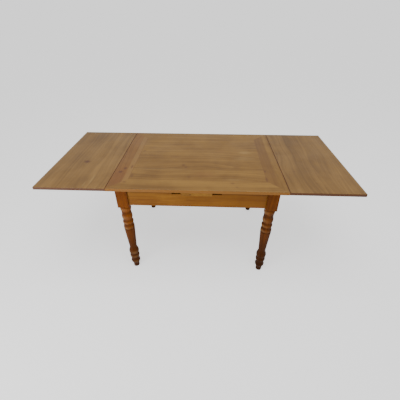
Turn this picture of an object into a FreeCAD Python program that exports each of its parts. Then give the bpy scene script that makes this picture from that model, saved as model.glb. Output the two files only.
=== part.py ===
import FreeCAD, Part

import math
import os

import Sketcher

# A draw-leaf table in pine: a loose framed top over two leaves that run out on tapered bearers.
# Both leaves stand drawn out, level with the top. X runs along the table, Y from front to back,
# Z up, and the origin is on the floor under the middle of the top.

# Driving sizes, in millimetres
SIZES = {
    # the top, a frame mitred round a field of boards
    "table_height": 760,
    "top_length": 1110,
    "top_depth": 876,
    "top_thickness": 20,
    "top_rail_width": 115,
    "field_board_count": 5,
    "edge_rounding": 2.5,
    # the leaves
    "leaf_length": 446,
    "leaf_thickness": 19,
    "leaf_board_count": 4,
    "seam_gap": 1,
    "leaf_clearance": 0.4,
    # the fixed board across the middle, between the pushed-in leaves
    "centre_board_width": 190,
    "centre_board_thickness": 20,
    "rest_gap": 0.3,
    # the bearers under each leaf
    "bearer_width": 25,
    "bearer_depth": 45,
    "bearer_side_clearance": 1,
    "bearer_slot_clearance": 0.3,
    "bearer_inner_end": 20,
    "bearer_outer_margin": 40,
    "bearer_post_gap": 51.5,
    "bearer_pass_gap": 15,
    "stop_length": 20,
    "stop_width": 15,
    "stop_height": 24,
    "stop_drop": 3,
    "stop_gap": 0.3,
    # the legs
    "post_width": 74,
    "post_inset_end": 43,
    "post_inset_front": 32,
    "turned_height": 590,
    # the aprons and their joints in the posts
    "apron_thickness": 22,
    "apron_height": 112,
    "apron_setback": 8,
    "tenon_thickness": 8,
    "tenon_length": 28,
    "tenon_shoulder": 14,
    "joint_clearance": 0.2,
    "finger_notch_width": 62,
    "finger_notch_depth": 17,
    # the pegs that keep the loose top in place
    "peg_diameter": 22,
    "peg_length": 50,
    "peg_socket_depth": 12,
    "peg_clearance": 1,
    # screws and the nail in the end of the centre board
    "screw_diameter": 5,
    "screw_head_diameter": 10,
    "screw_head_height": 3,
    "screw_clearance": 0.2,
    "board_screw_length": 45,
    "board_screw_spacing": 130,
    "board_screw_edge": 45,
    "bearer_screw_grip": 24,
    "bearer_screw_bite": 12,
    "nail_diameter": 6,
    "nail_length": 32,
    "nail_offset": 38,
    # how far a cutting tool runs past what it cuts
    "overrun": 5,
}

# The turned part of a leg from the top down, in stretches. Each has the share of the turned height
# where it starts, its radius there and at its lower end as shares of half the post, and the radius
# half way down where it swells.
TURNING_SHARES = (
    (1.000, 0.88, 0.88, None),
    (0.992, 0.86, 0.86, 0.97),
    (0.927, 0.86, 0.86, None),
    (0.883, 0.86, 0.86, 0.96),
    (0.807, 0.84, 0.84, None),
    (0.785, 0.86, 0.86, 0.98),
    (0.741, 0.89, 0.89, None),
    (0.714, 0.92, 0.92, 1.00),
    (0.664, 0.99, 0.69, None),
    (0.344, 0.70, 0.80, None),
    (0.312, 0.82, 0.82, 0.96),
    (0.236, 0.83, 0.83, None),
    (0.229, 0.80, 0.80, 0.93),
    (0.166, 0.78, 0.78, None),
    (0.136, 0.72, 0.72, 0.90),
    (0.075, 0.72, 0.60, None),
    (0.051, 0.60, 0.57, None),
)
# How much of its stretch a swelling fills, so that a fine edge is left above and below it
SWELLING_FILL = 0.96

document = FreeCAD.newDocument("draw_leaf_table")
sheet = document.addObject("Spreadsheet::Sheet", "sizes")
for row, (alias, number) in enumerate(SIZES.items(), start=1):
    sheet.set(f"A{row}", alias)
    sheet.set(f"B{row}", str(number))
    sheet.setAlias(f"B{row}", alias)
document.recompute()


class Size:
    """A length worked out from the sheet: its value, and the expression that keeps it bound."""

    def __init__(self, value, text):
        self.value = value
        self.text = text

    def join(self, sign, other, value):
        text = other.text if isinstance(other, Size) else repr(other)
        return Size(value, f"({self.text} {sign} {text})")

    def __add__(self, other):
        return self.join("+", other, self.value + worth(other))

    def __sub__(self, other):
        return self.join("-", other, self.value - worth(other))

    def __mul__(self, other):
        return self.join("*", other, self.value * worth(other))

    def __truediv__(self, other):
        return self.join("/", other, self.value / worth(other))

    def __neg__(self):
        return self * -1


def worth(number):
    """The plain value of a size or a number."""
    return number.value if isinstance(number, Size) else number


def size(alias):
    """The sheet's cell of that name, as a size."""
    return Size(float(sheet.get(alias)), f"sizes.{alias}")


ZERO = Size(0.0, "0")

# Levels and places that several pieces share
top_surface = size("table_height")
top_underside = top_surface - size("top_thickness")
board_top = top_underside - size("rest_gap")
frame_top = board_top - size("centre_board_thickness")
apron_underside = frame_top - size("apron_height")
half_length = size("top_length") / 2
half_depth = size("top_depth") / 2
leaf_inner_edge = half_length + size("seam_gap")
leaf_outer_edge = leaf_inner_edge + size("leaf_length")
leaf_underside = top_surface - size("leaf_thickness")
post_end_face = half_length - size("post_inset_end")
post_front_face = half_depth - size("post_inset_front")
apron_end_face = post_end_face - size("apron_setback")
apron_front_face = post_front_face - size("apron_setback")
end_apron_inner_face = apron_end_face - size("apron_thickness")

# The right leaf's bearers run beside the posts, and the left leaf's pass just inside them
right_spacing = (post_front_face - size("post_width") - size("bearer_post_gap")) * 2 - size("bearer_width")
left_spacing = right_spacing - (size("bearer_width") + size("bearer_pass_gap")) * 2

# A leaf runs in by its own length and the seam, and comes down by its drop on the way
travel = size("leaf_length") + size("seam_gap")
drop = size("top_thickness") + size("leaf_clearance")
slope = drop / travel

pieces = []


def bind(item, **sizes_by_property):
    """Binds properties of an object to sizes."""
    for name, length in sizes_by_property.items():
        item.setExpression(name, length.text)


def place(item, x, y, z, turn=0):
    """Puts an object at a bound place, turned about the vertical by whole degrees."""
    item.Placement = FreeCAD.Placement(
        FreeCAD.Vector(x.value, y.value, z.value), FreeCAD.Rotation(FreeCAD.Vector(0, 0, 1), turn)
    )
    for axis, length in zip("xyz", (x, y, z)):
        item.setExpression(f"Placement.Base.{axis}", length.text)


def keep(item, label):
    """Names a finished piece and lists it for export."""
    item.Label = label
    pieces.append(item)
    return item


def block(x, y, z, length, width, height):
    """A plain box with its lowest corner at a bound place."""
    item = document.addObject("Part::Box", "Block")
    bind(item, Length=length, Width=width, Height=height)
    place(item, x, y, z)
    return item


def rod(x, y, z, diameter, length):
    """An upright cylinder standing on a bound place."""
    item = document.addObject("Part::Cylinder", "Rod")
    bind(item, Radius=diameter / 2, Height=length)
    place(item, x, y, z)
    return item


def join(parts, kind="Part::MultiFuse"):
    """Several shapes as one, either fused or only grouped."""
    item = document.addObject(kind, "Joined")
    if kind == "Part::Compound":
        item.Links = parts
    else:
        item.Shapes = parts
    return item


def cut(base, tools):
    """A shape with others taken out of it."""
    item = document.addObject("Part::Cut", "Cut")
    item.Base = base
    item.Tool = tools[0] if len(tools) == 1 else join(tools, "Part::Compound")
    return item


def new_sketch(body, role):
    """A sketch on one of the body's own origin planes."""
    sketch = body.newObject("Sketcher::SketchObject", "Outline")
    plane = next(f for f in body.Origin.OriginFeatures if f.Role == role)
    sketch.AttachmentSupport = [(plane, "")]
    sketch.MapMode = "FlatFace"
    return sketch


def pin_point(sketch, geometry, end, x, y):
    """Ties one point of a sketch to bound distances from its origin."""
    for kind, axis, length in (("DistanceX", -2, x), ("DistanceY", -1, y)):
        if length is ZERO:
            sketch.addConstraint(Sketcher.Constraint("PointOnObject", geometry, end, axis))
        else:
            fixed = Sketcher.Constraint(kind, -1, 1, geometry, end, length.value)
            number = sketch.addConstraint(fixed)
            sketch.setExpression(f"Constraints[{number}]", length.text)


def draw_outline(sketch, corners):
    """A closed outline of straight lines through the corners."""
    points = [FreeCAD.Vector(x.value, y.value, 0) for x, y in corners]
    count = len(points)
    for n in range(count):
        sketch.addGeometry(Part.LineSegment(points[n], points[(n + 1) % count]), False)
    for n in range(count):
        sketch.addConstraint(Sketcher.Constraint("Coincident", n, 2, (n + 1) % count, 1))
    for n, (x, y) in enumerate(corners):
        pin_point(sketch, n, 1, x, y)


def slab(corners, thickness, role="XY_Plane"):
    """A body padded from a closed outline."""
    body = document.addObject("PartDesign::Body", "Slab")
    sketch = new_sketch(body, role)
    draw_outline(sketch, corners)
    pad = body.newObject("PartDesign::Pad", "Pad")
    pad.Profile = sketch
    bind(pad, Length=thickness)
    sketch.Visibility = False
    document.recompute()
    return body


def round_edges(body, wanted):
    """Rounds the edges of a body whose middle and direction the given test picks."""
    names = []
    for number, edge in enumerate(body.Tip.Shape.Edges, start=1):
        middle = edge.CenterOfMass
        along = edge.tangentAt(edge.FirstParameter)
        if wanted(middle, along):
            names.append(f"Edge{number}")
    blank = body.Tip
    fillet = body.newObject("PartDesign::Fillet", "Rounding")
    fillet.Base = (blank, names)
    bind(fillet, Radius=size("edge_rounding"))
    body.Tip = fillet
    document.recompute()


def board(length, width, thickness):
    """A rectangular board padded up from its lowest corner."""
    corners = ((ZERO, ZERO), (length, ZERO), (length, width), (ZERO, width))
    return slab(corners, thickness)


def make_top_frame():
    """Four rails round the field, mitred at the corners, with their outer top edges rounded."""
    width = size("top_rail_width")
    thickness = size("top_thickness")
    rails = (
        ("top_front_rail", size("top_length"), -half_length, -half_depth, 0),
        ("top_right_rail", size("top_depth"), half_length, -half_depth, 90),
        ("top_back_rail", size("top_length"), half_length, half_depth, 180),
        ("top_left_rail", size("top_depth"), -half_length, half_depth, 270),
    )
    for label, length, x, y, turn in rails:
        corners = ((ZERO, ZERO), (length, ZERO), (length - width, width), (width, width))
        body = slab(corners, thickness)
        near = size("edge_rounding").value
        round_edges(body, lambda m, a: m.z > thickness.value - near and m.y < near)
        place(body, x, y, top_underside, turn)
        keep(body, label)


def field_board_width():
    """The boards of the field share the depth between the rails evenly."""
    return (size("top_depth") - size("top_rail_width") * 2) / size("field_board_count")


def peg_places():
    """The pegs stand half way along, each under the second board from its edge of the field."""
    out = half_depth - size("top_rail_width") - field_board_width() * 1.5
    return (-out, out)


def make_field():
    """The field of boards inside the frame. Those over the pegs have a blind socket below."""
    rail = size("top_rail_width")
    length = size("top_length") - rail * 2
    count = int(size("field_board_count").value)
    width = field_board_width()
    for n in range(count):
        front = -half_depth + rail + width * n
        body = board(length, width, size("top_thickness"))
        place(body, -length / 2, front, top_underside)
        sockets = []
        for y in peg_places():
            if front.value < y.value < front.value + width.value:
                depth = size("peg_socket_depth") + size("overrun")
                bore = size("peg_diameter") + size("joint_clearance") * 2
                sockets.append(rod(ZERO, y, top_underside - size("overrun"), bore, depth))
        piece = cut(body, sockets) if sockets else body
        keep(piece, f"top_board_{n + 1}")


def make_pegs():
    """Two pegs glued up into the top, which drop through the centre board and hold the top there."""
    inside = size("peg_socket_depth") - size("joint_clearance")
    foot = top_underside + inside - size("peg_length") - inside
    length = size("peg_length") + inside
    pegs = [rod(ZERO, y, foot, size("peg_diameter"), length) for y in peg_places()]
    keep(join(pegs, "Part::Compound"), "top_guide_pegs")


def board_screw_places():
    """Two screws at each end of the centre board, down into the aprons."""
    across = size("board_screw_spacing") / 2
    along = apron_front_face - size("apron_thickness") / 2
    return [(x, y) for x in (-across, across) for y in (-along, along)]


def make_centre_board():
    """The fixed board across the middle, as long as the top is deep, with its screws and nail."""
    width = size("centre_board_width")
    thickness = size("centre_board_thickness")
    body = board(width, size("top_depth"), thickness)
    place(body, -width / 2, -half_depth, frame_top)
    past = size("overrun")
    tools = []
    for y in peg_places():
        bore = size("peg_diameter") + size("peg_clearance") * 2
        tools.append(rod(ZERO, y, frame_top - past, bore, thickness + past * 2))
    gap = size("screw_clearance") * 2
    head_seat = board_top - size("screw_head_height") - size("screw_clearance")
    screws = []
    for x, y in board_screw_places():
        bore = size("screw_diameter") + gap
        tools.append(rod(x, y, frame_top - past, bore, thickness + past * 2))
        head_bore = size("screw_head_diameter") + gap
        tools.append(rod(x, y, head_seat, head_bore, size("screw_head_height") + past))
        length = size("board_screw_length")
        shank = rod(x, y, head_seat - length, size("screw_diameter"), length)
        head = rod(x, y, head_seat, size("screw_head_diameter"), size("screw_head_height"))
        screws.append(join([shank, head]))
    level = frame_top + thickness / 2
    nail_hole = rod(-size("nail_offset"), -half_depth - past, level,
                    size("nail_diameter") + gap, size("nail_length") + past)
    nail = rod(-size("nail_offset"), -half_depth + size("screw_clearance"), level,
               size("nail_diameter"), size("nail_length") - size("screw_clearance") * 2)
    for item in (nail_hole, nail):
        item.Placement = FreeCAD.Placement(
            item.Placement.Base, FreeCAD.Rotation(FreeCAD.Vector(1, 0, 0), -90)
        )
    keep(cut(body, tools + [nail_hole]), "centre_board")
    keep(join(screws, "Part::Compound"), "centre_board_screws")
    keep(nail, "centre_board_nail")


def turned_stretch(start, finish, above, below, swell):
    """One stretch of a turned leg, straight or tapering, with a rounded swelling round it."""
    radius = size("post_width") / 2
    foot = size("turned_height") * finish
    height = size("turned_height") * (start - finish)
    if above == below:
        core = document.addObject("Part::Cylinder", "Neck")
        bind(core, Radius=radius * above, Height=height)
    else:
        core = document.addObject("Part::Cone", "Taper")
        bind(core, Radius1=radius * below, Radius2=radius * above, Height=height)
    place(core, ZERO, ZERO, foot)
    if swell is None:
        return [core]
    fullness = SWELLING_FILL / math.sqrt(1 - (min(above, below) / swell) ** 2)
    bead = document.addObject("Part::Ellipsoid", "Bead")
    bind(bead, Radius1=height / 2 * fullness, Radius2=radius * swell, Radius3=radius * swell)
    place(bead, ZERO, ZERO, foot + height / 2)
    return [core, bead]


def leg_blank():
    """A square post over its turned leg, standing on the origin."""
    stretches = []
    finishes = [stretch[0] for stretch in TURNING_SHARES[1:]] + [0]
    for (start, above, below, swell), finish in zip(TURNING_SHARES, finishes):
        stretches += turned_stretch(start, finish, above, below, swell)
    half = size("post_width") / 2
    height = size("turned_height")
    post = block(-half, -half, height, size("post_width"), size("post_width"), frame_top - height)
    return join(stretches + [post])


def leg_mortises():
    """The two mortises of a leg, one for the end apron and one for the long one."""
    half = size("post_width") / 2
    gap = size("joint_clearance")
    mortise_from = half - size("tenon_length") - gap
    deep = size("tenon_length") + gap + size("overrun")
    shoulder = (size("apron_thickness") - size("tenon_thickness")) / 2
    side = -half + size("apron_setback") + shoulder - gap
    wide = size("tenon_thickness") + gap * 2
    foot = apron_underside + size("tenon_shoulder") - gap
    tall = size("apron_height") - size("tenon_shoulder") * 2 + gap * 2
    return [
        block(mortise_from, side, foot, deep, wide, tall),
        block(side, mortise_from, foot, wide, deep, tall),
    ]


def make_legs():
    """Four legs from one blank, each a quarter turn on from the one before it."""
    blank = leg_blank()
    mortises = join(leg_mortises(), "Part::Compound")
    x = post_end_face - size("post_width") / 2
    y = post_front_face - size("post_width") / 2
    corners = (
        ("front_left_leg", -x, -y, 0),
        ("front_right_leg", x, -y, 90),
        ("back_right_leg", x, y, 180),
        ("back_left_leg", -x, y, 270),
    )
    for label, across, along, turn in corners:
        piece = cut(blank, [mortises])
        place(piece, across, along, ZERO, turn)
        keep(piece, label)


def apron_blank(length):
    """An apron and its two tenons, centred on the origin and lying along X, front face at zero."""
    height = size("apron_height")
    thickness = size("apron_thickness")
    shoulder = (thickness - size("tenon_thickness")) / 2
    tenon_height = height - size("tenon_shoulder") * 2
    tenon_reach = length + size("tenon_length") * 2
    plank = block(-length / 2, ZERO, apron_underside, length, thickness, height)
    tongue = block(-tenon_reach / 2, shoulder, apron_underside + size("tenon_shoulder"),
                   tenon_reach, size("tenon_thickness"), tenon_height)
    return join([plank, tongue])


def make_long_apron(label, y, turn):
    """A long apron, with a finger notch in its top edge on either side of the centre board."""
    length = (post_end_face - size("post_width")) * 2
    past = size("overrun")
    blank = apron_blank(length)
    board_edge = size("centre_board_width") / 2
    notch = size("finger_notch_width")
    depth = size("finger_notch_depth")
    through = size("apron_thickness") + past * 2
    tools = [
        block(x, -past, frame_top - depth, notch, through, depth + past)
        for x in (-board_edge - notch, board_edge)
    ]
    bore = size("screw_diameter") + size("screw_clearance") * 2
    reach = size("board_screw_length")
    for x in (-size("board_screw_spacing") / 2, size("board_screw_spacing") / 2):
        tools.append(rod(x, size("apron_thickness") / 2, frame_top - reach, bore, reach + past))
    piece = cut(blank, tools)
    place(piece, ZERO, y, ZERO, turn)
    keep(piece, label)


def make_end_apron(label, x, turn, spacing):
    """An end apron, slotted for the two bearers that run in and out over it."""
    length = (post_front_face - size("post_width")) * 2
    past = size("overrun")
    blank = apron_blank(length)
    width = size("bearer_width") + size("bearer_side_clearance") * 2
    floor = bearer_underside(end_apron_inner_face) - size("bearer_slot_clearance")
    tools = [
        block(across - width / 2, -past, floor,
              width, size("apron_thickness") + past * 2, frame_top - floor + past)
        for across in (-spacing / 2, spacing / 2)
    ]
    piece = cut(blank, tools)
    place(piece, x, ZERO, ZERO, turn)
    keep(piece, label)


def make_aprons():
    """Two long and two short aprons, set back a little from the faces of the posts."""
    make_long_apron("front_apron", -apron_front_face, 0)
    make_long_apron("back_apron", apron_front_face, 180)
    make_end_apron("left_apron", -apron_end_face, 270, left_spacing)
    make_end_apron("right_apron", apron_end_face, 90, right_spacing)


def bearer_top(out):
    """The height of a bearer's sloping top edge, at a distance out from the table's middle."""
    at_seam = top_underside - size("leaf_clearance")
    return at_seam - (leaf_inner_edge - out) * slope


def bearer_underside(out):
    """The height of the bearer's underside, which slopes alongside its top edge."""
    return bearer_top(out) - size("bearer_depth")


# The bearers of a leaf reach from the table's middle nearly to the leaf's outer edge
bearer_start = size("bearer_inner_end")
bearer_finish = leaf_outer_edge - size("bearer_outer_margin")
leaf_board_width = size("leaf_length") / size("leaf_board_count")
screw_seat = leaf_underside - size("bearer_screw_grip")


def screw_places_out():
    """How far out each leaf board is screwed down: at its middle, but the last at the bearer's end."""
    count = int(size("leaf_board_count").value)
    outermost = bearer_finish - leaf_board_width / 2
    return [outermost] + [leaf_outer_edge - leaf_board_width * (n + 0.5) for n in range(1, count)]


def make_leaf_screws(side, sign, lines):
    """Screws up through the bearers, one into each board."""
    length = size("bearer_screw_grip") + size("bearer_screw_bite")
    head_foot = screw_seat - size("screw_head_height")
    screws = []
    for out in screw_places_out():
        for across in lines:
            shank = rod(out * sign, across, screw_seat, size("screw_diameter"), length)
            head = rod(out * sign, across, head_foot, size("screw_head_diameter"),
                       size("screw_head_height"))
            screws.append(join([shank, head]))
    keep(join(screws, "Part::Compound"), f"{side}_leaf_screws")


def screw_bores(out, across):
    """The clearance hole of one leaf screw and the wide bore under its head."""
    gap = size("screw_clearance") * 2
    length = size("bearer_screw_grip") + size("bearer_screw_bite") + size("screw_clearance")
    hole = rod(out, across, screw_seat, size("screw_diameter") + gap, length)
    deep = size("bearer_depth")
    sink = rod(out, across, screw_seat - deep, size("screw_head_diameter") + gap, deep)
    return hole, sink


def make_leaf_boards(side, sign, turn, lines):
    """The boards of a leaf, from the outermost in, with their free top edges rounded."""
    depth = size("top_depth")
    near = size("edge_rounding").value
    top_edge = size("leaf_thickness").value - near
    for n, screw_out in enumerate(screw_places_out()):
        outermost = n == 0

        def free_edges(middle, along):
            at_end = middle.y < near or middle.y > depth.value - near
            at_side = outermost and middle.x < near
            return middle.z > top_edge and (at_end or at_side)

        body = board(leaf_board_width, depth, size("leaf_thickness"))
        round_edges(body, free_edges)
        out = leaf_outer_edge - leaf_board_width * n
        place(body, out * sign, half_depth * sign, leaf_underside, turn)
        holes = [screw_bores(screw_out * sign, across)[0] for across in lines]
        keep(cut(body, holes), f"{side}_leaf_board_{n + 1}")


def make_bearers(side, sign, turn, lines):
    """The two bearers of a leaf. Past the seam they slope down, so that the leaf drops as it runs in."""
    seam = bearer_finish - leaf_inner_edge
    length = bearer_finish - bearer_start
    foot = bearer_underside(bearer_start)
    corners = (
        (ZERO, bearer_underside(bearer_finish) - foot),
        (length, ZERO),
        (length, bearer_top(bearer_start) - foot),
        (seam, bearer_top(leaf_inner_edge) - foot),
        (seam, leaf_underside - foot),
        (ZERO, leaf_underside - foot),
    )
    for number, across in enumerate(lines, start=1):
        bearer = slab(corners, size("bearer_width"), "XZ_Plane")
        place(bearer, bearer_finish * sign, across - size("bearer_width") / 2 * sign, foot, turn)
        tools = []
        for out in screw_places_out():
            tools += screw_bores(out * sign, across)
        keep(cut(bearer, tools), f"{side}_bearer_{number}")


def make_stops(side, sign, lines, outside):
    """A block on each bearer that meets the end apron when the leaf is fully out."""
    out = end_apron_inner_face - size("stop_gap")
    x = -out if sign < 0 else out - size("stop_length")
    foot = frame_top - size("stop_drop") - size("stop_height")
    reach = size("bearer_width") / 2
    stops = []
    for across in lines:
        towards_back = (across.value > 0) == outside
        start = across + reach if towards_back else across - reach - size("stop_width")
        stops.append(block(x, start, foot, size("stop_length"), size("stop_width"),
                           size("stop_height")))
    keep(join(stops, "Part::Compound"), f"{side}_bearer_stops")


def make_leaf(side, sign, turn, spacing, outside):
    """A leaf on its bearers. Its stops are outside or inside them, clear of the other leaf's."""
    lines = (-spacing / 2, spacing / 2)
    make_leaf_boards(side, sign, turn, lines)
    make_bearers(side, sign, turn, lines)
    make_stops(side, sign, lines, outside)
    make_leaf_screws(side, sign, lines)


def check_and_export():
    """Stops on any failed feature or bad shape, then writes one file for each piece."""
    document.recompute()
    for item in document.Objects:
        if "Invalid" in item.State or "Error" in item.State:
            raise RuntimeError(f"{item.Label} failed: {item.State}")
    for piece in pieces:
        if piece.Shape.isNull() or not piece.Shape.isValid():
            raise RuntimeError(f"{piece.Label} has a bad shape")
    os.makedirs("parts", exist_ok=True)
    for piece in pieces:
        piece.Shape.exportStep(f"parts/{piece.Label}.step")
        print(piece.Label, len(piece.Shape.Solids), round(piece.Shape.Volume))


make_top_frame()
make_field()
make_pegs()
make_centre_board()
make_legs()
make_aprons()
make_leaf("left", -1, 0, left_spacing, outside=False)
make_leaf("right", 1, 180, right_spacing, outside=True)
check_and_export()
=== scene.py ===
import math
import random

import bpy
from mathutils import Matrix, Vector


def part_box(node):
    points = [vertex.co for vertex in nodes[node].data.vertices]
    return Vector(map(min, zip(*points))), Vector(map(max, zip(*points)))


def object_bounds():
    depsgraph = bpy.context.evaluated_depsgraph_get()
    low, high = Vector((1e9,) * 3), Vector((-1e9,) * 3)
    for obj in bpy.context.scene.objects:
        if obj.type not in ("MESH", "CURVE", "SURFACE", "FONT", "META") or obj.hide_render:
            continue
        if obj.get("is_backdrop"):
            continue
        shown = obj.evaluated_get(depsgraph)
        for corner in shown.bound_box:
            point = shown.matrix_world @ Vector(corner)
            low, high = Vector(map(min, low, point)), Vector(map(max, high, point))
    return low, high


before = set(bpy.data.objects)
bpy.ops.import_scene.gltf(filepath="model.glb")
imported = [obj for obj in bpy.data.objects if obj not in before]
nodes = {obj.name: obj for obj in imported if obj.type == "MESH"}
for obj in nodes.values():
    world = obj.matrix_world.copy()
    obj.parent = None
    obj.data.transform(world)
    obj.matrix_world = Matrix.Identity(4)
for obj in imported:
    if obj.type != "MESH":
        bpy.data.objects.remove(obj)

# %% [markdown]
# # A pine draw-leaf table
# The shapes of this table come from a CAD model, and every piece of it is already in the scene.
# This lesson dresses them: it builds a wood shader out of small steps, gives each board its own
# cut of the tree, and then sets a floor, some lights and a camera.
#
# All lengths are in metres, and colours are linear red, green and blue.

# %% Measure what was loaded
sizes = {"loaded": [list(corner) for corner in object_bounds()]}
low, high = (Vector(corner) for corner in sizes["loaded"])
print(f"{len(nodes)} pieces, {high.x - low.x:.3f} x {high.y - low.y:.3f} x {high.z - low.z:.3f} m")

# %% [markdown]
# ## Arithmetic on sockets
# A shader is a graph, and a formula in it takes many nodes. The small class below wraps a socket,
# so that `a * b + c` adds the Math nodes by itself, and `1 - a` too.

# %% A wrapper for shader sockets
ADD, SUBTRACT, MULTIPLY, DIVIDE = "ADD", "SUBTRACT", "MULTIPLY", "DIVIDE"


class Wire:
    """An output socket that can be added, multiplied and so on."""

    def __init__(self, graph, socket):
        self.graph = graph
        self.socket = socket

    def __add__(self, other):
        return self.graph.math(ADD, self, other)

    def __sub__(self, other):
        return self.graph.math(SUBTRACT, self, other)

    def __mul__(self, other):
        return self.graph.math(MULTIPLY, self, other)

    def __truediv__(self, other):
        return self.graph.math(DIVIDE, self, other)

    def __rsub__(self, other):
        return self.graph.math(SUBTRACT, other, self)

    __radd__ = __add__
    __rmul__ = __mul__


print("a wire adds, subtracts, multiplies and divides")

# %% [markdown]
# ## One way to add any node
# Every node comes from `node`, which takes its type, its settings and its inputs. `put` sets an
# input: it links it when the value is a wrapped socket, and types it in when it is a plain number.
# The other methods are short names for the nodes that wood needs most.

# %% The node tree of a material
# Sockets of the Mix node that take a factor and two colours, and the one that gives the result
MIX_FACTOR, MIX_FIRST, MIX_SECOND, MIX_COLOUR = 0, 6, 7, 2
# Outputs of the Texture Coordinate node, and the three numbers of a place
FACING, ON_OBJECT = 1, 3
X, Y, Z = 0, 1, 2
# Noise runs from 0 to 1, with this in the middle
NOISE_MIDDLE = 0.5


class Graph:
    """The node tree of one material, with short ways to add to it."""

    def __init__(self, name):
        self.material = bpy.data.materials.new(name)
        self.material.use_nodes = True
        self.tree = self.material.node_tree
        self.tree.nodes.clear()

    def node(self, kind, settings=None, inputs=None, output=0):
        """Adds a node of any type and returns one of its outputs."""
        made = self.tree.nodes.new(kind)
        for name, value in (settings or {}).items():
            setattr(made, name, value)
        for name, value in (inputs or {}).items():
            self.put(made.inputs[name], value)
        return Wire(self, made.outputs[output]) if made.outputs else None

    def put(self, socket, value):
        """Links a wrapped socket to an input, or types a plain value into it."""
        if isinstance(value, Wire):
            self.tree.links.new(value.socket, socket)
        else:
            socket.default_value = value

    def math(self, operation, *values):
        """Works on numbers."""
        return self.node("ShaderNodeMath", {"operation": operation}, dict(enumerate(values)))

    def vector(self, operation, *values):
        """Works on places and other triples."""
        settings = {"operation": operation}
        return self.node("ShaderNodeVectorMath", settings, dict(enumerate(values)))

    def mix(self, factor, first, second):
        """Mixes two colours: the first at a factor of 0, the second at 1."""
        settings = {"data_type": "RGBA", "clamp_factor": True}
        inputs = {MIX_FACTOR: factor, MIX_FIRST: first, MIX_SECOND: second}
        return self.node("ShaderNodeMix", settings, inputs, MIX_COLOUR)

    def steps(self, value, start, finish):
        """Goes smoothly from 0 to 1 as the value goes from start to finish."""
        inputs = {"Value": value, "From Min": start, "From Max": finish}
        return self.node("ShaderNodeMapRange", {"interpolation_type": "SMOOTHSTEP"}, inputs)

    def noise(self, where, scale, detail=2.0, rough=0.5):
        """Soft random spots, from 0 to 1."""
        inputs = {"Vector": where, "Scale": scale, "Detail": detail, "Roughness": rough}
        return self.node("ShaderNodeTexNoise", None, inputs)

    def stretched(self, where, stretch, detail=2.0, rough=0.5):
        """Noise whose spots are drawn out where the stretch is small."""
        return self.noise(self.vector(MULTIPLY, where, stretch), 1.0, detail, rough)

    def triple(self, first, second, third):
        """One place made of three numbers."""
        return self.node("ShaderNodeCombineXYZ", None, {0: first, 1: second, 2: third})

    def split(self, where, part):
        """One of the three numbers of a place."""
        return self.node("ShaderNodeSeparateXYZ", None, {0: where}, part)

    def surface(self, kind):
        """Where a point lies on its object, or which way the surface faces there."""
        return self.node("ShaderNodeTexCoord", None, None, kind)

    def largest(self, values):
        """The largest of some numbers."""
        found = values[0]
        for value in values[1:]:
            found = self.math("MAXIMUM", found, value)
        return found

    def finish(self, inputs):
        """Feeds the main shader and the material's output."""
        shader = self.node("ShaderNodeBsdfPrincipled", None, inputs)
        self.node("ShaderNodeOutputMaterial", None, {"Surface": shader})
        return self.material


print(f"a graph adds nodes, and its noise has its middle at {NOISE_MIDDLE}")

# %% [markdown]
# ## What a board looks like
# Flat-sawn pine has long pale and amber streaks that run with the grain and bend slowly. Finer
# fibres lie between them. All of it comes from noise that is stretched: the coordinate along the
# grain is scaled down, so that every spot of the noise becomes a streak.
#
# The colours below were picked by comparing renders with the photograph. Old wax makes the top
# yellower, and the aprons and legs are darker and redder.

# %% Colours
HONEY = (0.216, 0.113, 0.021, 1)
AMBER = (0.098, 0.044, 0.007, 1)
RAIL_HONEY = (0.184, 0.086, 0.018, 1)
RAIL_AMBER = (0.104, 0.043, 0.008, 1)
SAPWOOD = (0.215, 0.118, 0.030, 1)
LEAF_HONEY = (0.207, 0.111, 0.028, 1)
LEAF_AMBER = (0.096, 0.047, 0.010, 1)
APRON_PALE = (0.283, 0.120, 0.012, 1)
APRON_DEEP = (0.148, 0.050, 0.004, 1)
LEG_PALE = (0.224, 0.063, 0.006, 1)
LEG_DEEP = (0.070, 0.018, 0.003, 1)
# Darker copies of the leg colours for the legs on the right: painted shade
SHADED_LEG_PALE = (0.156, 0.044, 0.005, 1)
SHADED_LEG_DEEP = (0.034, 0.009, 0.002, 1)
END_GRAIN = (0.070, 0.018, 0.004, 1)
EDGE_ORANGE = (0.210, 0.078, 0.004, 1)
KNOT_BROWN = (0.066, 0.022, 0.008, 1)
# A dark brown for dirt, and for painted shade under the top and in the grooves of the legs
DIRT_AND_SHADE_BROWN = (0.020, 0.007, 0.002, 1)
# A pale colour for the crests of the legs: wear and painted highlight
LEG_WORN_AND_HIGHLIT = (0.335, 0.185, 0.072, 1)
WORN_PALE = (0.310, 0.200, 0.072, 1)
FLUSH_RED = (0.140, 0.047, 0.012, 1)
BARE_PALE = (0.232, 0.108, 0.014, 1)
BARE_DEEP = (0.135, 0.055, 0.007, 1)
print("pale and deep colours for the top, the leaves, the aprons, the legs and bare wood")

# %% [markdown]
# ## Marks on the top
# A real board isn't even. Its knots are dark and round, hands and plates have rubbed some places
# pale, and others have gone redder. An ellipse with a soft border is enough for each of them, so a
# table of numbers holds them all: the place on the table, the radius along and across it, and the
# strength.

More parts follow.
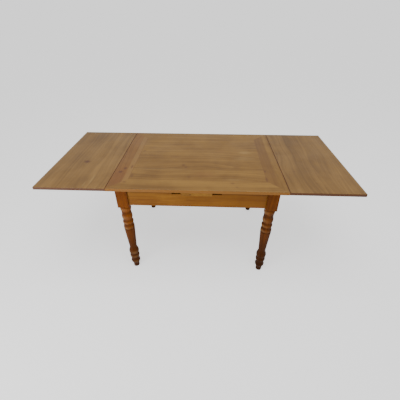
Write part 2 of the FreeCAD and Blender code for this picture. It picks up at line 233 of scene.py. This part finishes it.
# %% Tables of marks
KNOTS = (
    (-0.789, -0.104, 0.021, 0.017, 0.90),
    (-0.514, -0.236, 0.013, 0.014, 0.85),
    (-0.494, -0.188, 0.011, 0.015, 0.75),
    (-0.454, -0.164, 0.007, 0.024, 0.60),
    (-0.427, -0.280, 0.010, 0.022, 0.45),
    (-0.456, -0.358, 0.012, 0.009, 0.50),
    (-0.418, 0.084, 0.012, 0.012, 0.50),
    (-0.103, -0.128, 0.012, 0.014, 0.55),
    (-0.085, -0.158, 0.011, 0.010, 0.50),
    (-0.055, -0.288, 0.012, 0.014, 0.25),
    (-0.175, -0.003, 0.040, 0.020, 0.20),
    (-0.365, 0.142, 0.030, 0.018, 0.18),
    (0.222, -0.350, 0.013, 0.010, 0.40),
    (0.245, -0.393, 0.010, 0.008, 0.35),
    (0.262, -0.146, 0.022, 0.018, 0.25),
    (0.446, -0.194, 0.007, 0.016, 0.60),
    (0.440, -0.298, 0.008, 0.030, 0.50),
    (0.700, 0.202, 0.013, 0.012, 0.40),
    (0.640, -0.188, 0.008, 0.010, 0.30),
)
# Pale, worn marks
WORN = (
    (0.340, 0.080, 0.045, 0.026, 0.24),
    (0.325, -0.016, 0.075, 0.028, 0.15),
    (-0.668, -0.338, 0.006, 0.060, 0.26),
    (-0.700, -0.393, 0.005, 0.030, 0.22),
    (-0.240, -0.188, 0.200, 0.010, 0.12),
    (0.235, -0.308, 0.060, 0.012, 0.15),
)
# Reddened marks
FLUSHED = (
    (-0.512, -0.280, 0.048, 0.120, 0.36),
    (0.040, -0.250, 0.070, 0.040, 0.18),
    (0.160, 0.095, 0.030, 0.020, 0.20),
)

print(f"{len(KNOTS)} knots, {len(WORN)} worn and {len(FLUSHED)} reddened marks")

# %% [markdown]
# ## The figure of the wood
# Real boards are cut from a trunk at different places. `grain_space` turns the object's coordinates
# so that the first one runs along the board, and moves each board to a place of its own.
# `wood_figure` then lays broad streaks, growth lines that a slow noise bends, and fine fibres.

# %% Figure of the wood
GRAIN_ORDER = {"X": (X, Y, Z), "Y": (Y, X, Z), "Z": (Z, X, Y)}
# The farthest that a board is moved, in metres along each axis
FARTHEST = 20
# How often each kind of spot comes per metre: along the grain, across it and through it
BROAD_STREAKS = (0.9, 9.0, 9.0)
SLOW_BENDS = (1.6, 5.0, 5.0)
GROWTH_LINES = (0.5, 62.0, 62.0)
FINE_FIBRES = (14.0, 620.0, 620.0)
BEND_DEPTH = 9.0
# The stretch of the noise in which a streak or a line goes from pale to dark
STREAK_BORDER = (0.32, 0.68)
LINE_BORDER = (0.35, 0.66)
dice = random.Random(7)


def grain_space(graph, place, grain):
    """Coordinates along the grain, across it and through it, moved by a chance amount."""
    parts = [graph.split(place, axis) for axis in (X, Y, Z)]
    moved = [parts[axis] + dice.uniform(-FARTHEST, FARTHEST) for axis in GRAIN_ORDER[grain]]
    return graph.triple(*moved), parts


def wood_figure(graph, where):
    """Three measures from 0 to 1: broad streaks, growth lines and fine fibres."""
    broad = graph.stretched(where, BROAD_STREAKS, detail=3.0)
    bend = graph.stretched(where, SLOW_BENDS, detail=1.0)
    straight = graph.vector(MULTIPLY, where, GROWTH_LINES)
    bent = graph.vector(ADD, straight, graph.triple(0.0, bend * BEND_DEPTH, 0.0))
    lines = graph.noise(bent, 1.0, rough=0.6)
    fibres = graph.stretched(where, FINE_FIBRES)
    return graph.steps(broad, *STREAK_BORDER), graph.steps(lines, *LINE_BORDER), fibres


print(f"{GROWTH_LINES[1]:.0f} growth lines per metre across the grain")

# %% [markdown]
# ## Round marks and level bands
# A knot is found by its distance from a heart, measured in radii. The grooves of the turned legs
# are found by height alone, because a lathe cuts them level all the way round. Both fade out
# softly, and where two of them meet the stronger one counts.

# %% Marks and bands
# The parts of a mark's radius where it starts to fade and where it ends
MARK_HEART, MARK_END = 0.35, 1.5
# The part of a band's reach where it starts to fade
BAND_HEART = 0.3


def marks_on(name, marks):
    """The marks that reach the outline of a piece, seen from above."""
    start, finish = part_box(name)
    return [
        (x, y, along, across, strength) for x, y, along, across, strength in marks
        if start.x - along * MARK_END < x < finish.x + along * MARK_END
        and start.y - across * MARK_END < y < finish.y + across * MARK_END
    ]


def marks_at(graph, parts, marks):
    """How strongly a point lies in one of the marks on the top side: 1 in a heart, 0 well away."""
    spots = []
    for x, y, along, across, strength in marks:
        side = (parts[X] - x) / along
        ahead = (parts[Y] - y) / across
        away = graph.math("SQRT", side * side + ahead * ahead)
        spots.append((1 - graph.steps(away, MARK_HEART, MARK_END)) * strength)
    return graph.largest(spots)


def bands_at(graph, height, bands):
    """1 in the middle of each band of heights, and 0 outside it."""
    return graph.largest([
        1 - graph.steps(graph.math("ABSOLUTE", height - middle), reach * BAND_HEART, reach)
        for middle, reach in bands
    ])


print(f"a mark ends at {MARK_END} times its radius")

# %% [markdown]
# ## Stripes and edges
# A board that was cut near the bark has a stripe of paler sapwood, and a cut through a leaf's end
# shows dark end grain. A stripe also lays painted shade on the long aprons, darker towards the
# right, and the front and back faces of the top's rails get a darker orange that is partly painted
# shade.
# Each such step takes the colour so far and mixes another one over it, so that a piece can have any
# of them.

# %% Stripes and edges
# How squarely a side faces the front or the back to take the colour of the edge, and how strongly
EDGE_BORDER, EDGE_STRENGTH = (0.75, 0.98), 0.85


def striped(graph, colour, parts, stripe):
    """A stripe of another colour across the table: sapwood and heartwood on the top, painted shade
    on the long aprons.
    """
    start, finish, other, strength, blur = stripe
    inside = graph.steps(parts[X], start - blur, start + blur)
    beyond = graph.steps(parts[X], finish - blur, finish + blur)
    return graph.mix((inside - beyond) * strength, colour, other)


def edged(graph, colour, other):
    """Another colour on the sides that face the front or the back."""
    facing = graph.split(graph.surface(FACING), Y)
    ends = graph.steps(graph.math("ABSOLUTE", facing), *EDGE_BORDER)
    return graph.mix(ends * EDGE_STRENGTH, colour, other)


print("stripes and edges can be laid over a colour")

# %% [markdown]
# ## Old turned legs
# Dirt settles in the grooves of the turning, where a cloth can't reach, and near the floor, where
# shoes and brooms meet the legs. The grooves also get painted shade, and the legs are painted
# darker towards the floor. Hands and knees wear the crests pale, and a painted highlight on the
# crests adds to it.

# %% Age and painted light on the legs
# The height at which the turned part of a leg meets its square post
TURNED = 0.590
# Painted shade and dirt that grow downwards, dirt and painted shade in the grooves, and wear and
# painted highlight on the crests
LOWER_SHADE, LOWER_DIRT, GROOVE_DIRT_AND_SHADE = 0.70, 0.55, 0.4
WEAR_AND_HIGHLIGHT_BORDER, WEAR_AND_HIGHLIGHT_STRENGTH = (0.1, 0.8), 0.42


def aged_and_shaded_turning(graph, colour, parts, turning, deep, broad):
    """A leg darker towards the floor, pale on its crests and dark in its grooves: dirt, wear and
    painted light.
    """
    grooves, crests = turning
    lower = 1 - graph.steps(parts[Z], 0.0, TURNED)
    # Painted shade that grows towards the floor
    colour = graph.mix(lower * LOWER_SHADE, colour, deep)
    # Pale crests: wear and painted highlight
    worn = bands_at(graph, parts[Z], crests) * graph.steps(broad, *WEAR_AND_HIGHLIGHT_BORDER)
    colour = graph.mix(worn * WEAR_AND_HIGHLIGHT_STRENGTH, colour, LEG_WORN_AND_HIGHLIT)
    # Dark grooves from dirt and painted shade, and dirt near the floor
    dirt_and_shade = [bands_at(graph, parts[Z], grooves) * GROOVE_DIRT_AND_SHADE, lower * LOWER_DIRT]
    return graph.mix(graph.largest(dirt_and_shade), colour, DIRT_AND_SHADE_BROWN)


print(f"the legs are turned up to {TURNED} m")

# %% [markdown]
# ## Dark lines in the top
# The boards of the field have shrunk a little inside their frame, and the top never lies quite
# tight against the leaves. Both gaps fill with dirt, and are seen as thin dark lines. Such a line
# is found by its distance from the middle of the table.

# %% Joints and seams
# The distances from the border of the field and from the seam between which a line fades, and
# how dark it is
JOINT_BORDER, JOINT_STRENGTH = (-0.004, -0.0005), 0.55
SEAM_BORDER, SEAM_STRENGTH = (0.0015, 0.0045), 0.8


def jointed(graph, colour, parts, field):
    """A dark line round the field of the top."""
    reach = [graph.math("ABSOLUTE", parts[axis]) - field[axis] for axis in (X, Y)]
    line = graph.steps(graph.largest(reach), *JOINT_BORDER)
    return graph.mix(line * JOINT_STRENGTH, colour, END_GRAIN)


def seamed(graph, colour, parts, seam):
    """A dark line where the top and a leaf meet."""
    away = graph.math("ABSOLUTE", graph.math("ABSOLUTE", parts[X]) - seam)
    return graph.mix((1 - graph.steps(away, *SEAM_BORDER)) * SEAM_STRENGTH, colour, END_GRAIN)


print(f"a seam fades out at {SEAM_BORDER[1] * 1000:.1f} mm")

# %% [markdown]
# ## A whole piece of waxed pine
# `wood` puts the steps together. The figure decides between a pale and a deep colour, and a chance
# tone makes one board a little darker than the next. Wax fills the pores unevenly, which shows in
# the shine more than in the colour. A low bump lets the fibres catch the light at a flat angle.

# %% Wood material
# What the streaks, the growth lines, the clouds and the fibres add to the depth of the colour
STREAK_SHARE, LINE_SHARE, CLOUD_SHARE, FIBRE_SHARE = 0.34, 0.36, 0.30, 0.25
TONE_RANGE = 0.12
CLOUDS_PER_METRE, CLOUD_BORDER = 5.0, (0.35, 0.70)
FIBRE_BORDER = (0.45, 0.75)
# Short dark ticks in the wood that has knots
TICKS, TICK_BORDER, TICK_STRENGTH = (26.0, 90.0, 90.0), (0.60, 0.76), 0.30
# The painted shade under the overhang of the top
PAINTED_SHADE_STRENGTH = 0.55
# Spots of shine per metre and what they change, and the height of the growth lines in the bump
SHINE_SPOTS, SHINE_RANGE = 6.0, 0.22
BUMP = {"Strength": 0.12, "Distance": 0.0004}
LINE_DEPTH = 0.6


def wood(name, grain, pale, deep, knots=False, edge=None, turning=None, shine=0.42, joint=None,
         seam=None, gloss_level=0.30, stripe=None, painted_shade=None):
    """A waxed pine material, with what the piece needs besides the figure of the wood."""
    graph = Graph(name)
    place = graph.surface(ON_OBJECT)
    where, parts = grain_space(graph, place, grain)
    broad, lines, fibres = wood_figure(graph, where)
    tone = dice.uniform(-TONE_RANGE, TONE_RANGE)
    clouds = graph.noise(place, CLOUDS_PER_METRE, detail=3.0, rough=0.6)
    clouds = graph.steps(clouds, *CLOUD_BORDER)
    depth = broad * STREAK_SHARE + lines * LINE_SHARE + clouds * CLOUD_SHARE + tone
    colour = graph.mix(depth, pale, deep)
    colour = graph.mix(graph.steps(fibres, *FIBRE_BORDER) * FIBRE_SHARE, colour, deep)
    if stripe:
        colour = striped(graph, colour, parts, stripe)
    if knots:
        ticks = graph.stretched(where, TICKS, detail=3.0, rough=0.65)
        ticks = graph.steps(ticks, *TICK_BORDER) * TICK_STRENGTH
        colour = graph.mix(ticks, colour, KNOT_BROWN)
        for marks, other in ((FLUSHED, FLUSH_RED), (KNOTS, KNOT_BROWN), (WORN, WORN_PALE)):
            found = marks_on(name, marks)
            if found:
                colour = graph.mix(marks_at(graph, parts, found), colour, other)
    if edge:
        colour = edged(graph, colour, edge)
    if turning:
        colour = aged_and_shaded_turning(graph, colour, parts, turning, deep, broad)
    if joint:
        colour = jointed(graph, colour, parts, joint)
    if seam:
        colour = seamed(graph, colour, parts, seam)
    # Painted shade: a dark band on the aprons, under the overhang of the top
    if painted_shade:
        colour = graph.mix(bands_at(graph, parts[Z], painted_shade) * PAINTED_SHADE_STRENGTH, colour, DIRT_AND_SHADE_BROWN)
    gloss = graph.noise(place, SHINE_SPOTS)
    height = {"Height": fibres + lines * LINE_DEPTH}
    return graph.finish({
        "Base Color": colour,
        "Roughness": shine + (gloss - NOISE_MIDDLE) * SHINE_RANGE,
        "Normal": graph.node("ShaderNodeBump", None, {**BUMP, **height}),
        "Specular IOR Level": gloss_level,
    })


print(f"tones differ by up to {2 * TONE_RANGE:.2f} from board to board")

# %% [markdown]
# ## Metal
# The screws and the one nail are small and old. A rough metal with darker spots is enough for
# them. `paint` then gives a piece its one material.

# %% Metal and paint
# Spots per metre, how much darker and rougher they are, and how metallic the whole is
RUST_SPOTS, RUST_SHADE, RUST_RANGE, METALNESS = 240.0, 0.5, 0.2, 0.8


def metal(name, colour, rough):
    """A dull metal with a little unevenness."""
    graph = Graph(name)
    spots = graph.noise(graph.surface(ON_OBJECT), RUST_SPOTS, detail=3.0)
    darker = tuple(channel * RUST_SHADE for channel in colour[:3]) + (1,)
    return graph.finish({
        "Base Color": graph.mix(spots, colour, darker),
        "Roughness": rough + (spots - NOISE_MIDDLE) * RUST_RANGE,
        "Metallic": METALNESS,
    })


def paint(node_name, material):
    """Gives a CAD piece its only material."""
    mesh = nodes[node_name].data
    mesh.materials.clear()
    mesh.materials.append(material)


print("wood for most pieces, metal for the screws and the nail")

# %% [markdown]
# ## One cut of wood for each board
# The rails at the front and back and the boards of the field run along the table. The rails at the
# ends and the leaves run across it. Each piece gets a material of its own, so that its streaks
# don't carry on into its neighbour's.

# %% Paint the top and the leaves
field_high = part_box("top_board_5")[1]
FIELD = (field_high.x, field_high.y)
# Stripes of other wood: from and to along the table, colour, strength and blur of the borders
SAPWOOD_STRIPE = (-0.475, -field_high.x, SAPWOOD, 0.55, 0.003)
HEARTWOOD_STRIPE = (field_high.x, 0.505, RAIL_AMBER, 0.45, 0.003)
SEAM = (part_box("top_right_rail")[1].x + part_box("right_leaf_board_4")[0].x) / 2
for name in sorted(nodes):
    if name.startswith("top_board"):
        paint(name, wood(name, "X", HONEY, AMBER, knots=True, joint=FIELD))
    elif name in ("top_front_rail", "top_back_rail"):
        # The darker orange on the rails' front and back faces is partly the edge's own colour and
        # partly painted shade
        paint(name, wood(name, "X", HONEY, AMBER, knots=True, edge=EDGE_ORANGE))
    elif name == "top_left_rail":
        paint(name, wood(name, "Y", RAIL_HONEY, RAIL_AMBER, knots=True, seam=SEAM,
                         stripe=SAPWOOD_STRIPE))
    elif name == "top_right_rail":
        paint(name, wood(name, "Y", HONEY, AMBER, knots=True, seam=SEAM,
                         stripe=HEARTWOOD_STRIPE))
    elif "_leaf_board" in name:
        paint(name, wood(name, "Y", LEAF_HONEY, LEAF_AMBER, knots=True, edge=END_GRAIN, seam=SEAM))
print(f"top and leaves painted, with seams {SEAM:.3f} m from the middle")

# %% [markdown]
# ## Where the turning is dark and pale
# Years of polish gather in the grooves of the turned legs, and their crests are rubbed. Narrow
# bands follow both, and they also paint shade into the grooves and highlights onto the crests. The
# heights are shares of the turned part, the same that the lathe work follows, each with its reach
# up and down in metres.

# %% Bands on the legs and aprons
GROOVES = ((0.996, 0.006), (0.905, 0.016), (0.796, 0.010), (0.727, 0.010), (0.664, 0.005),
           (0.330, 0.008), (0.233, 0.007), (0.151, 0.012), (0.070, 0.008))
CRESTS = ((0.960, 0.016), (0.845, 0.020), (0.763, 0.012), (0.689, 0.014), (0.274, 0.018),
          (0.198, 0.016), (0.106, 0.014))
# A dark line of painted shade on the aprons, under the overhang of the top
apron_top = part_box("front_apron")[1].z
UNDER_THE_TOP = ((apron_top, 0.020),)
# The long aprons are painted darker towards the right: painted shade, as the light falls off from
# the left
RIGHT_SIDE_PAINTED_SHADE = (0.10, 1.00, APRON_DEEP, 0.55, 0.40)
turning_marks = [
    [(share * TURNED, reach) for share, reach in bands] for bands in (GROOVES, CRESTS)
]
print(f"{len(GROOVES)} grooves and {len(CRESTS)} crests on each leg")

# %% [markdown]
# ## The legs, aprons and the rest
# Each name in the CAD model says what a piece is, so its finish is picked by name. The legs on the
# right are darker than those on the left, because the light falls from the left, so they have
# darker
# colours of their own: painted shade. The boards and bearers inside never had any wax, so they are
# paler and duller.

# %% Paint the frame
# Less gloss than the top: the polish on legs and aprons is worn, and bare wood has none
LEG_GLOSS, LONG_APRON_GLOSS, INSIDE_GLOSS = 0.05, 0.12, 0.15
BARE_SHINE, BOARD_SHINE = 0.60, 0.55
IRON, IRON_ROUGH = (0.02, 0.015, 0.012, 1), 0.7
STEEL, STEEL_ROUGH = (0.35, 0.32, 0.28, 1), 0.45
for name in sorted(nodes):
    if name.endswith("left_leg"):
        paint(name, wood(name, "Z", LEG_PALE, LEG_DEEP, turning=turning_marks,
                         gloss_level=LEG_GLOSS))
    # The legs on the right take the darker colours: painted shade
    elif name.endswith("right_leg"):
        paint(name, wood(name, "Z", SHADED_LEG_PALE, SHADED_LEG_DEEP, turning=turning_marks,
                         gloss_level=LEG_GLOSS))
    elif name in ("front_apron", "back_apron"):
        paint(name, wood(name, "X", APRON_PALE, APRON_DEEP, gloss_level=LONG_APRON_GLOSS,
                         stripe=RIGHT_SIDE_PAINTED_SHADE, painted_shade=UNDER_THE_TOP))
    elif name in ("left_apron", "right_apron"):
        paint(name, wood(name, "Y", APRON_PALE, APRON_DEEP, gloss_level=INSIDE_GLOSS,
                         painted_shade=UNDER_THE_TOP))
    elif name == "centre_board":
        paint(name, wood(name, "Y", BARE_PALE, BARE_DEEP, shine=BOARD_SHINE,
                         gloss_level=INSIDE_GLOSS))
    elif "bearer" in name:
        paint(name, wood(name, "X", BARE_PALE, BARE_DEEP, shine=BARE_SHINE))
    elif "peg" in name:
        paint(name, wood(name, "Z", BARE_PALE, BARE_DEEP, shine=BARE_SHINE))
    elif "nail" in name:
        paint(name, metal("dark_iron", IRON, IRON_ROUGH))
    elif "screws" in name:
        paint(name, metal(name, STEEL, STEEL_ROUGH))
bare = [name for name in nodes if not nodes[name].data.materials]
print(f"pieces without a material: {bare}")

# %% [markdown]
# ## The floor
# The photograph has a white ground. A wide, matt floor stands in for it. Lit by the lamps alone it
# would come out grey, so it glows a little as well, but only for the camera: a real glow would
# light the table from below.

# %% Floor
FLOOR_SIZE = 60.0
FLOOR_WHITE = (0.86, 0.86, 0.86, 1)
FLOOR_GLOW, GLOW_SHARE = 2.1, 0.45
# The output of the Light Path node that is 1 for what the camera sees by itself
SEEN = 0

half = FLOOR_SIZE / 2
floor_mesh = bpy.data.meshes.new("floor")
floor_corners = [(-half, -half, 0), (half, -half, 0), (half, half, 0), (-half, half, 0)]
floor_mesh.from_pydata(floor_corners, [], [(0, 1, 2, 3)])
floor = bpy.data.objects.new("floor", floor_mesh)
bpy.context.scene.collection.objects.link(floor)
floor_graph = Graph("floor")
seen = floor_graph.node("ShaderNodeLightPath", None, None, SEEN)
matt = floor_graph.node("ShaderNodeBsdfDiffuse", None, {"Color": FLOOR_WHITE})
bright = floor_graph.node("ShaderNodeEmission", None, {"Strength": FLOOR_GLOW})
ground = floor_graph.node("ShaderNodeMixShader", None, {0: seen * GLOW_SHARE, 1: matt, 2: bright})
floor_graph.node("ShaderNodeOutputMaterial", None, {"Surface": ground})
floor_mesh.materials.append(floor_graph.material)
floor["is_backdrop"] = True
print(f"a floor of {FLOOR_SIZE:.0f} m")

# %% [markdown]
# ## The room
# The air round the table is an even white that lights it from all sides. Seen behind the table in
# low views it has a brightness of its own, to go with the floor.

# %% World
WHITE = (1.0, 1.0, 1.0, 1)
ROOM_LIGHT, ROOM_SEEN = 0.75, 1.62
world = bpy.data.worlds.new("studio")
world.use_nodes = True
sky = world.node_tree
background = sky.nodes["Background"]
background.inputs["Color"].default_value = WHITE
background.inputs["Strength"].default_value = ROOM_LIGHT
backdrop = sky.nodes.new("ShaderNodeBackground")
backdrop.inputs["Strength"].default_value = ROOM_SEEN
either = sky.nodes.new("ShaderNodeMixShader")
path = sky.nodes.new("ShaderNodeLightPath")
sky.links.new(path.outputs["Is Camera Ray"], either.inputs[0])
sky.links.new(background.outputs[0], either.inputs[1])
sky.links.new(backdrop.outputs[0], either.inputs[2])
sky.links.new(either.outputs[0], sky.nodes["World Output"].inputs["Surface"])
bpy.context.scene.world = world
print(f"a room of brightness {ROOM_LIGHT}, seen at {ROOM_SEEN}")

# %% [markdown]
# ## Lights
# One big soft light hangs above the table, a little in front of it, and does most of the work. Two
# weaker ones, from the left and from behind the viewer's shoulder, open up the shadows on the
# aprons and legs.

# %% Lights
# Place, target, width in metres and power in watts
LIGHTS = {
    "overhead": ((0.0, -0.9, 3.3), (0, -0.2, 0.5), 2.4, 88),
    "from_the_left": ((-1.8, -2.1, 0.75), (-0.2, -0.4, 0.5), 0.9, 26),
    "over_the_shoulder": ((-0.9, -3.0, 2.3), (0, -0.4, 0.3), 0.8, 12),
}
for name, (place, target, width, power) in LIGHTS.items():
    lamp = bpy.data.lights.new(name, "AREA")
    lamp.shape = "SQUARE"
    lamp.size = width
    lamp.energy = power
    light = bpy.data.objects.new(name, lamp)
    light.location = place
    light.rotation_euler = (Vector(target) - Vector(place)).to_track_quat("-Z", "Y").to_euler()
    bpy.context.scene.collection.objects.link(light)
print(f"{len(LIGHTS)} lights")

# %% [markdown]
# ## The camera
# A camera was fitted to the corners of the table in the photograph. It stands in front of the
# table at eye height and looks down, with a wide view, which is why the table spreads towards the
# viewer.

# %% Camera
# The width of the photograph, and the focal length and the middle of the view in its pixels
IMAGE = 400
FOCAL_PIXELS = 264.17
CENTRE_PIXELS = (197.90, 194.75)
SENSOR = 36.0
STAND = (0.0626, -1.7369, 1.6486)
YAW, PITCH, ROLL = (math.radians(angle) for angle in (-2.355, -35.242, -0.05))

camera_data = bpy.data.cameras.new("camera")
camera_data.sensor_width = SENSOR
camera_data.lens = FOCAL_PIXELS / IMAGE * SENSOR
camera_data.shift_x = (IMAGE / 2 - CENTRE_PIXELS[0]) / IMAGE
camera_data.shift_y = (CENTRE_PIXELS[1] - IMAGE / 2) / IMAGE
camera = bpy.data.objects.new("camera", camera_data)
level = math.cos(PITCH)
forward = Vector((math.sin(YAW) * level, math.cos(YAW) * level, math.sin(PITCH)))
right = Vector((math.cos(YAW), -math.sin(YAW), 0.0))
up = right.cross(forward)
turn = Matrix((right, up, -forward)).transposed().to_4x4()
camera.matrix_world = Matrix.Translation(STAND) @ turn @ Matrix.Rotation(ROLL, 4, "Z")
bpy.context.scene.collection.objects.link(camera)
bpy.context.scene.camera = camera
print(f"lens {camera_data.lens:.2f} mm, {math.degrees(-PITCH):.1f} degrees down")

# %% [markdown]
# ## Last measure
# The dressed table is measured again, and both sizes are printed. The dressed table has
# to be as large as the one that was loaded.

# %% Measure again and finish
sizes["finished"] = [list(corner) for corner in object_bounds()]
print(sizes)
